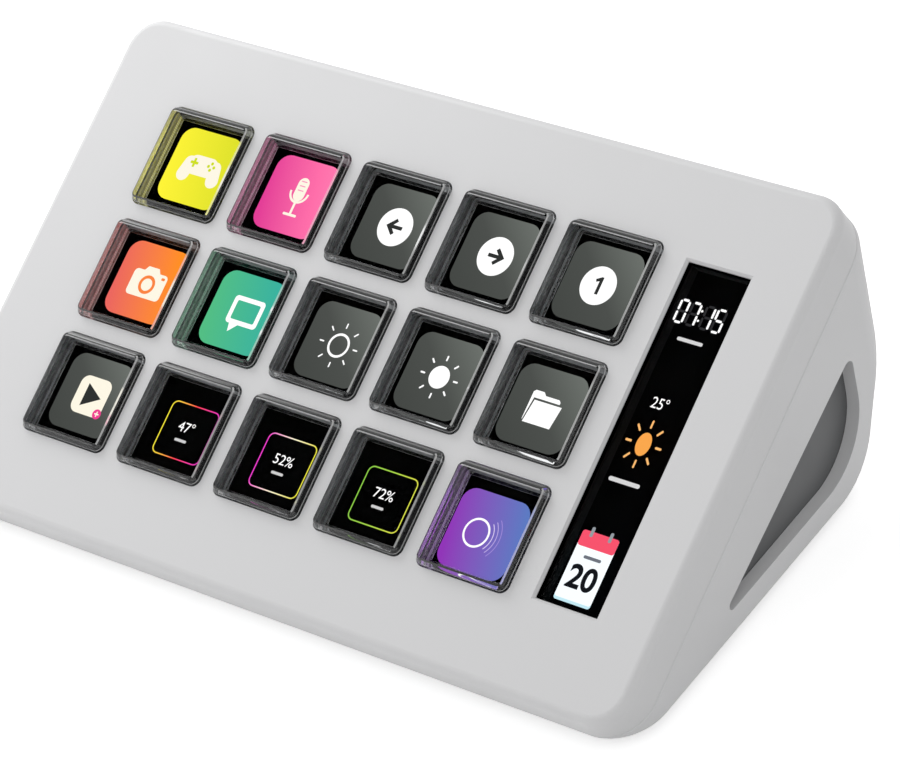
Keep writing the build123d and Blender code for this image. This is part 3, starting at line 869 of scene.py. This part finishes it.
def arrow(turn):
    """A white disc with an arrow that points left, turned by so many degrees."""
    shaft = rounded(0.1, 0, 2.6, 0.62, 0.1)
    head = [(-1.75, 0), (-0.2, 1.45), (0.25, 1.0), (-0.75, 0), (0.25, -1.0), (-0.2, -1.45)]
    strokes = [filled(turned(outline, turn)) for outline in (shaft, head)]
    return inked(white, round_plate) + inked(ink, *strokes)


one_outline = [
    (-0.1, -1.45), (0.5, -1.45), (0.5, 1.5), (0.1, 1.5), (-0.85, 0.95), (-0.65, 0.5), (-0.1, 0.75)
]
one = inked(white, round_plate) + inked(ink, filled(one_outline))

# %% [markdown]
# The middle row is drawn in the same way. A ring is a disc with a smaller one inside it, which cuts
# the hole, and the rays of a sun are one bar turned about the middle.

# %% Middle row


def camera():
    body = filled(rounded(0, -0.3, 7.6, 4.9, 0.8))
    hump = filled([(-1.9, 2.0), (-1.2, 3.0), (1.2, 3.0), (1.9, 2.0)])
    lens = filled(disc(0, -0.3, 1.75), disc(0, -0.3, 1.15))
    flash = filled(rounded(2.9, 1.4, 0.8, 0.5, 0.2))
    return inked(cream, body, hump) + inked(lit("camera_orange", "#F4803E"), lens, flash)


def speech_bubble():
    box = filled(rounded(0.5, 0.4, 6.6, 5.0, 0.7), rounded(0.5, 0.4, 5.0, 3.4, 0.3))
    tail = filled([(-1.8, -1.9), (-1.4, -3.6), (0.3, -1.9)])
    return inked(white, box, tail)


def rays(inner, outer, width, count=8):
    """Bars round a sun, each turned to its own direction."""
    bar = rounded((inner + outer) / 2, 0, outer - inner, width, width / 2 - 0.01)
    return [filled(turned(bar, 360 * i / count)) for i in range(count)]


dim_sun = inked(white, filled(disc(0, 0, 1.8), disc(0, 0, 1.45)), *rays(2.55, 3.35, 0.22))
bright_sun = inked(white, filled(disc(0, 0, 1.65)), *rays(2.4, 3.2, 0.26))


def folder():
    """A back sheet with a tab and a front sheet that leans out, with a dark gap between them."""
    back = filled(
        [(-3.3, -2.6), (-3.3, 2.7), (-2.9, 3.1), (-1.1, 3.1), (-0.5, 2.5), (2.5, 2.5), (2.9, 2.1),
         (2.9, 1.7), (-2.7, 1.7), (-3.2, -2.6)]
    )
    front = filled([(-3.0, -3.0), (-2.4, 1.3), (3.6, 1.3), (3.0, -3.0)])
    return inked(white, back, front)


# %% [markdown]
# In the bottom row the three gauges differ only in their colours and number, so one function draws
# them all. The ripples are thin arcs that get fainter as they run off.

# %% Bottom row


def video():
    plate = filled(rounded(0, 0, 5.7, 5.7, 1.3))
    play = filled([(-1.3, 1.75), (-1.3, -1.75), (1.8, 0)])
    badge = filled(disc(2.3, -2.2, 0.75))
    return [
        (cream, plate),
        (ink, play),
        (lit("badge_pink", "#E83E8C"), badge),
        *inked(cream, *plus(2.3, -2.2, 0.8, 0.2, 0.05)),
    ]


def gauge(row, column, name, number, stops):
    """A black tile with a coloured outline, a number and a bar in place of its label."""
    x, y = picture_middle(row, column)
    fade = lit_fade(name, stops, (x - 4.2, y), (x + 4.2, y))
    outline = filled(rounded(0.1, -0.3, 8.7, 8.1, 1.0), rounded(0.1, -0.3, 8.36, 7.76, 0.83))
    return [
        (fade, outline),
        (white, lettering(number, 1.45, -0.1, 0.4)),
        (lit(name + "_label", "#C8C8C8"), filled(rounded(-0.2, -1.6, 2.1, 0.4, 0.18))),
    ]


def ripple():
    """A ring with ripples running off it."""
    x = -1.3
    marks = [(white, filled(disc(x, 0, 2.1), disc(x, 0, 1.8)))]
    for i in range(3):
        radius = 2.75 + 0.6 * i
        band = arc(x, 0, radius, -42, 42, 16) + arc(x, 0, radius - 0.12, 42, -42, 16)
        marks.append((lit(f"ripple_{i}", ("#D9CBF0", "#B9A6E0", "#9A86D2")[i]), filled(band)))
    return marks


# %% [markdown]
# A table sets the fifteen pictures out by row and column. A dark or coloured tile comes first, and
# the figures on it are scaled to the size at which the display shows them.

# %% All fifteen
pictures = {
    (1, 1): [tile(1, 1, "tile_lime", ("#F6EC36", "#D6DA2B")), *sized(gamepad(), 0.84, 0.1, 0.1)],
    (1, 2): [tile(1, 2, "tile_pink", ("#DC3C92", "#FF76AA")), *sized(microphone(), 0.86, 0.1, 0.1)],
    (1, 3): [dark_tile_painted_reflection(1, 3, "tile_back"), *sized(arrow(0), 0.88)],
    (1, 4): [dark_tile_painted_reflection(1, 4, "tile_next"), *sized(arrow(180), 0.88)],
    (1, 5): [dark_tile_painted_reflection(1, 5, "tile_page"), *sized(one, 0.86, -0.1, 0.1)],
    (2, 1): [tile(2, 1, "tile_orange", ("#E4645C", "#FC8E16")), *sized(camera(), 0.82)],
    (2, 2): [tile(2, 2, "tile_green", ("#50B880", "#36AC9C")), *sized(speech_bubble(), 0.84)],
    (2, 3): [dark_tile_painted_reflection(2, 3, "tile_dim"), *dim_sun],
    (2, 4): [dark_tile_painted_reflection(2, 4, "tile_bright"), *bright_sun],
    (2, 5): [dark_tile_painted_reflection(2, 5, "tile_folder"), *sized(folder(), 0.76)],
    (3, 1): [dark_tile_painted_reflection(3, 1, "tile_video"), *video()],
    (3, 2): gauge(3, 2, "heat", "47°", ("#F4E43C", "#F0404A", "#D838B8")),
    (3, 3): gauge(3, 3, "load", "52%", ("#E83AC8", "#F4F0D0", "#E8E040")),
    (3, 4): gauge(3, 4, "memory", "72%", ("#8CCB4A", "#A8D24A", "#D8DC4A")),
    (3, 5): [tile(3, 5, "tile_violet", ("#8C34B2", "#5A76BC")), *ripple()],
}
for (row, column), marks in pictures.items():
    picture(f"picture_{row}_{column}", *picture_middle(row, column), marks)
print(len(pictures), "pictures lit")

# %% [markdown]
# ### The strip
#
# The strip shows a clock in seven-segment digits, the temperature, a sun and a calendar page. The
# unlit segments of the clock stay faintly visible, as they do on such a face. The figures seem to
# lie right under the lens, so they are drawn close to its back and not down on the glass.

# %% Strip picture
strip_depth, strip_step = 0.25, 0.004  # below the lens's back, and between two figures
strip_base = from_face("strip_lens", out)[0] - strip_depth
digit_width, digit_height, segment, digit_spacing = 1.3, 3.15, 0.34, 1.87
LIT_SEGMENTS = {"0": "abcdef", "1": "bc", "5": "acdfg", "7": "abc"}


def segment_outlines(x, y):
    """The seven bars of a digit, named a to g from the top clockwise, with g in the middle."""
    w, h = digit_width / 2, digit_height / 2
    flat = rounded(0, 0, digit_width - segment, segment, segment / 2 - 0.01, 2)
    tall = rounded(0, 0, segment, h - segment / 2, segment / 2 - 0.01, 2)
    return {
        "a": moved(flat, x, y + h), "g": moved(flat, x, y), "d": moved(flat, x, y - h),
        "f": moved(tall, x - w, y + h / 2), "b": moved(tall, x + w, y + h / 2),
        "e": moved(tall, x - w, y - h / 2), "c": moved(tall, x + w, y - h / 2),
    }


def clock(x, y):
    faint = lit("segment_off", "#2C2C2E")
    marks = []
    for i, digit in enumerate("0715"):
        place_x = x + (i - 1.5) * digit_spacing + (0.2 if i > 1 else -0.2)
        for name, outline in segment_outlines(place_x, y).items():
            marks.append((white if name in LIT_SEGMENTS[digit] else faint, filled(outline)))
    marks += [(white, filled(disc(x, y + 0.7 * s, 0.17, 16))) for s in (-1, 1)]
    return marks


def squeezed(outline, share, x, y):
    """The outline made narrower and moved."""
    return [(x + share * u, y + v) for u, v in outline]


def small_sun(x, y):
    ball = filled(squeezed(disc(0, 0, 1.65), 0.68, x, y))
    ray = rounded(2.85, 0, 1.2, 0.34, 0.16)
    ring = [filled(squeezed(turned(ray, 45 * i), 0.84, x, y)) for i in range(8)]
    return inked(lit("sun_orange", "#F2A24B"), ball) + inked(lit("sun_ray", "#F6B96F"), *ring)


def calendar_page(x, y):
    width, height = 5.9, 9.8
    top = y + height / 2
    rings = [filled(rounded(x + 1.5 * s, top - 0.2, 0.5, 1.4, 0.2)) for s in (-1, 1)]
    return [
        (lit("page_edge", "#BFE4EE"), filled(rounded(x, y - 0.25, width, height, 0.4))),
        (lit("page_white", "#F4FBFF"), filled(rounded(x, y, width, height - 0.3, 0.4))),
        (lit("page_red", "#F0516A"), filled(rounded(x, top - 1.25, width, 2.2, 0.4))),
        (lit("month_bar", "#6A6F78"), filled(rounded(x + 0.2, y + 1.3, 2.8, 0.45, 0.2))),
        (lit("date_ink", "#14161A"), lettering("20", 3.1, x, y - 1.5, weight=0.12)),
        *inked(lit("page_ring", "#8F969C"), *rings),
    ]


def strip_marks():
    label = lit("strip_label", "#D0D0D0")
    return (
        clock(-0.75, 18.15)
        + [(label, filled(rounded(-0.55, 14.45, 4.1, 0.5, 0.23)))]
        + [(white, lettering("25°", 1.55, -0.7, 5.3, squeeze=0.9))]
        + small_sun(-0.5, -0.5)
        + [(label, filled(rounded(-0.75, -6.1, 5.0, 0.6, 0.28)))]
        + calendar_page(-0.5, -18.35)
    )


picture("picture_strip", *centre("strip_lens"), strip_marks(), base=strip_base, step=strip_step)

# %% [markdown]
# ## Case screws
#
# The case screws sit deep in wells in the base. Each has a crowned head with a cross recess, which
# the CAD solid leaves out. The recess and the round head are rings with the same number of points,
# so one stack makes the whole screw.

# %% Case screws
head_radius, head_height, shank_radius = 1.8, 1.2, 1.0
crown = (1.3, 0.03), (1.6, 0.15), (head_radius, 0.42)  # radius, and depth below the crown's top
tip_length, tip_share = 0.3, 0.7
recess_reach, recess_half_width, recess_depth = 1.15, 0.3, 0.8
recess_turn = math.degrees(math.atan(recess_half_width / recess_reach))
spokes = [
    90 * quarter + turn
    for quarter in range(4)
    for turn in (-45, -38, -30, -22, -recess_turn, -7, 0, 7, recess_turn, 22, 30, 38)
]


def round_ring(radius, level):
    return [
        (radius * math.cos(math.radians(t)), radius * math.sin(math.radians(t)), level)
        for t in spokes
    ]


def cross_ring(scale, level):
    """The outline of a cross recess, with as many points as a round ring."""
    points = []
    for t in spokes:
        turn = math.radians((t + 45) % 90 - 45)
        reach = recess_reach / math.cos(turn)
        if abs(math.tan(turn)) > recess_half_width / recess_reach + 1e-9:
            reach = recess_half_width / math.sin(abs(turn))
        t = math.radians(t)
        points.append((scale * reach * math.cos(t), scale * reach * math.sin(t), level))
    return points


def case_screw(name, x, y, head, tip):
    """A crowned head with a cross recess, which looks down the well, and a plain shank."""
    seat = head + head_height
    rings = [
        cross_ring(0.5, head + recess_depth),
        cross_ring(1.0, head),
        *[round_ring(radius, head + depth) for radius, depth in crown],
        round_ring(head_radius, seat),
        round_ring(shank_radius, seat),
        round_ring(shank_radius, tip - tip_length),
        round_ring(tip_share * shank_radius, tip),
    ]
    rings = [[(x + u, y + v, level) for u, v, level in ring] for ring in rings]
    mesh = solid(name, stacked(rings, [0] * (len(rings) + 1)))
    return piece(name, mesh, "housing", [screw_steel])


def case_screws():
    spans = [from_face("case_screws", direction) for direction in (right, upward, out)]
    places = [
        (x, y)
        for x in (spans[0][0] + head_radius, spans[0][1] - head_radius)
        for y in (spans[1][0] + head_radius, spans[1][1] - head_radius)
    ]
    for i, (x, y) in enumerate(places, start=1):
        screw = case_screw(f"case_screw_{i}", x, y, *spans[2])
        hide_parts("case_screws")
    print(len(places), "case screws at", [(round(x, 1), round(y, 1)) for x, y in places])


case_screws()

# %% [markdown]
# ## Socket
#
# The socket is a drawn steel shell with a thin black tongue that carries two rows of gilded
# contacts. Both are stacks of rings again, drawn about the mouth's middle and turned to the back.

# %% Socket
socket_wall, socket_slack = 0.3, 0.01
tongue_width, tongue_height, tongue_setback = 6.7, 0.7, 1.0
contacts, contact_pitch, contact_width = 12, 0.5, 0.27
contact_rise, contact_setback = 0.06, 0.4
socket_low, socket_high = ([v / MM for v in corner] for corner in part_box("usb_socket"))
socket_width, socket_depth, socket_height = (b - a for a, b in zip(socket_low, socket_high))
socket_floor = 2 * socket_wall - socket_depth
mouth_middle = Vector((0, socket_high[1], (socket_low[2] + socket_high[2]) / 2)) * MM
mouth_axes = Matrix(((-1, 0, 0), (0, 0, 1), (0, 1, 0))).transposed().to_4x4()
mouth = Matrix.Translation(mouth_middle) @ mouth_axes @ Matrix.Scale(MM, 4)


def nickel_steel():
    """Drawn steel with bright nickel on it: a mirror with faint drawing lines along its depth."""
    material, tree, shader = finish("socket_nickel_steel", "#D6D3CC", 0.18, Metallic=1.0)
    relief(tree, shader, streaks(tree, 0.08, 4, 0.08), 0.002)
    return material


def socket_ring(inset, level):
    """The shell's outline, drawn in all round."""
    width, height = socket_width - 2 * inset, socket_height - 2 * inset
    return at_level(rounded(0, 0, width, height, height / 2 - socket_slack, 10), level)


def usb_shell():
    """A drawn tube with a rounded lip and a floor inside."""
    profile = [
        (0, -socket_depth), (0, -0.12), (0.035, -0.03), (0.1, 0),
        (socket_wall - 0.1, 0), (socket_wall, -0.15), (socket_wall, socket_floor),
    ]
    rings = [socket_ring(inset, level) for inset, level in profile]
    mesh = solid("usb_shell", stacked(rings, [0] * (len(rings) + 1)))
    shell = piece(
        "usb_shell", mesh, "housing", [nickel_steel()], to_world=mouth
    )
    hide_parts("usb_socket")


def usb_tongue():
    """A tongue with a bevelled end and a row of contacts on either face."""
    plastic, gold = 0, 1
    profile = [(0, socket_floor), (0, -tongue_setback - 0.15), (0.15, -tongue_setback)]
    rings = [
        at_level(rounded(0, 0, tongue_width - 2 * inset, tongue_height - 2 * inset, 0.1), level)
        for inset, level in profile
    ]
    parts = [stacked(rings, [plastic] * (len(rings) + 1))]
    for face in (-1, 1):
        for i in range(contacts):
            x = (i - (contacts - 1) / 2) * contact_pitch
            strip = rounded(x, face * tongue_height / 2, contact_width, contact_rise, 0.02, 2)
            ends = socket_floor, -tongue_setback - contact_setback
            parts.append(stacked([at_level(strip, level) for level in ends], [gold] * 3))
    black = finish("socket_tongue_plastic", "#18181A", 0.45, IOR=1.6)[0]
    gilding = finish("socket_gilded_contact", "#E2BD6B", 0.22, Metallic=1.0)[0]
    mesh = solid("usb_tongue", *parts)
    piece("usb_tongue", mesh, "housing", [black, gilding], to_world=mouth)


usb_shell()
usb_tongue()
print(f"socket {socket_width:.2f} x {socket_height:.2f} mm with {2 * contacts} contacts")

# %% [markdown]
# ## Floor and light
#
# The keypad stands on plain pale paper in a white room. A large soft light from the left and a low
# one in front model the wedge, and the white room fills every shadow. The lamps are kept low so
# that the pale housing never clips, and the room gives less light than it shows to the camera.

# %% Floor and light
room_seen, room_light = 1.0, 0.70  # the world's strength to the camera and as a light
floor_reach, floor_glow = 4.0, 0.55


def seen_by(tree, *rays):
    """1 to the named kinds of rays, and 0 to all others."""
    path = add(tree, "LightPath")
    first, *others = (path.outputs[f"Is {ray} Ray"] for ray in rays)
    for other in others:
        first = add(tree, "Math", {"operation": "MAXIMUM"}, _0=first, _1=other).outputs["Value"]
    return first


def floor():
    """A wide plain floor that shows white to the camera and keeps the keypad's shadow."""
    square = (-1, -1), (1, -1), (1, 1), (-1, 1)
    corners = [(floor_reach * u, floor_reach * v, 0) for u, v in square]
    mesh = mesh_of("floor", corners, [(0, 1, 2, 3)], [0])
    material, tree, shader = finish(
        "floor_pale_paper", "#E8E8E8", 0.9,
        Emission_Color=linear("#FFFFFF"),
    )
    seen = seen_by(tree, "Camera", "Glossy")
    glow = add(tree, "Math", {"operation": "MULTIPLY"}, _0=seen, _1=floor_glow)
    tree.links.new(glow.outputs["Value"], shader.inputs["Emission Strength"])
    mesh.materials.append(material)
    sheet = in_scene("floor", mesh)


def studio_world():
    """White to what sees it directly, and softer as a light."""
    world = bpy.data.worlds.new("studio")
    world.use_nodes = True
    tree = world.node_tree
    tree.nodes.clear()
    seen = seen_by(tree, "Camera", "Glossy", "Transmission")
    level = add(tree, "MapRange", Value=seen, To_Min=room_light, To_Max=room_seen)
    background = add(tree, "Background", Color=linear("#FFFFFF"), Strength=level.outputs["Result"])
    add(tree, "OutputWorld", Surface=background.outputs["Background"])
    bpy.context.scene.world = world


def aimed(azimuth, elevation):
    """Direction away from the keypad, with 0 degrees in front of it and 90 on its right."""
    a, e = math.radians(azimuth), math.radians(elevation)
    return Vector((math.sin(a) * math.cos(e), -math.cos(a) * math.cos(e), math.sin(e)))


def soft_box(name, azimuth, elevation, distance, size, power):
    """A square area light that looks at the keypad's middle."""
    lamp = bpy.data.lights.new(name, "AREA")
    lamp.size = size
    lamp.energy = power
    holder = in_scene(name, lamp)
    away = aimed(azimuth, elevation)
    holder.location = face_origin + distance * away
    holder.rotation_euler = (-away).to_track_quat("-Z", "Y").to_euler()


floor()
studio_world()
soft_box("key_light", azimuth=-112, elevation=38, distance=0.36, size=0.2, power=0.62)
soft_box("front_fill", azimuth=-50, elevation=12, distance=0.5, size=0.3, power=0.32)
print("floor, world and two soft boxes set")

# %% [markdown]
# ## Camera
#
# A long lens looks down on the front right corner, which keeps the wedge's lines nearly parallel,
# as product pictures do. The camera is rolled a little, so that the keypad lies aslant.

# %% Camera
camera_azimuth, camera_elevation, camera_roll = 47.557, 37.665, 16.292
camera_distance = 0.601034
camera_target = on_face(21.115, -0.824)
camera_lens, camera_sensor = 179.966, 36


def studio_camera():
    lens = bpy.data.cameras.new("camera")
    lens.lens = camera_lens
    lens.sensor_width = camera_sensor
    holder = in_scene("camera", lens)
    away = aimed(camera_azimuth, camera_elevation)
    roll = math.radians(camera_roll)
    level_right = (-away).cross(Vector((0, 0, 1))).normalized()
    level_up = level_right.cross(-away)
    up = math.cos(roll) * level_up + math.sin(roll) * level_right
    basis = Matrix(((-away).cross(up), up, away)).transposed()
    holder.matrix_world = Matrix.Translation(
        camera_target + camera_distance * away
    ) @ basis.to_4x4()
    bpy.context.scene.camera = holder


studio_camera()
bpy.context.scene.view_settings.view_transform = "Standard"
print(f"camera {camera_distance:.3f} m away")
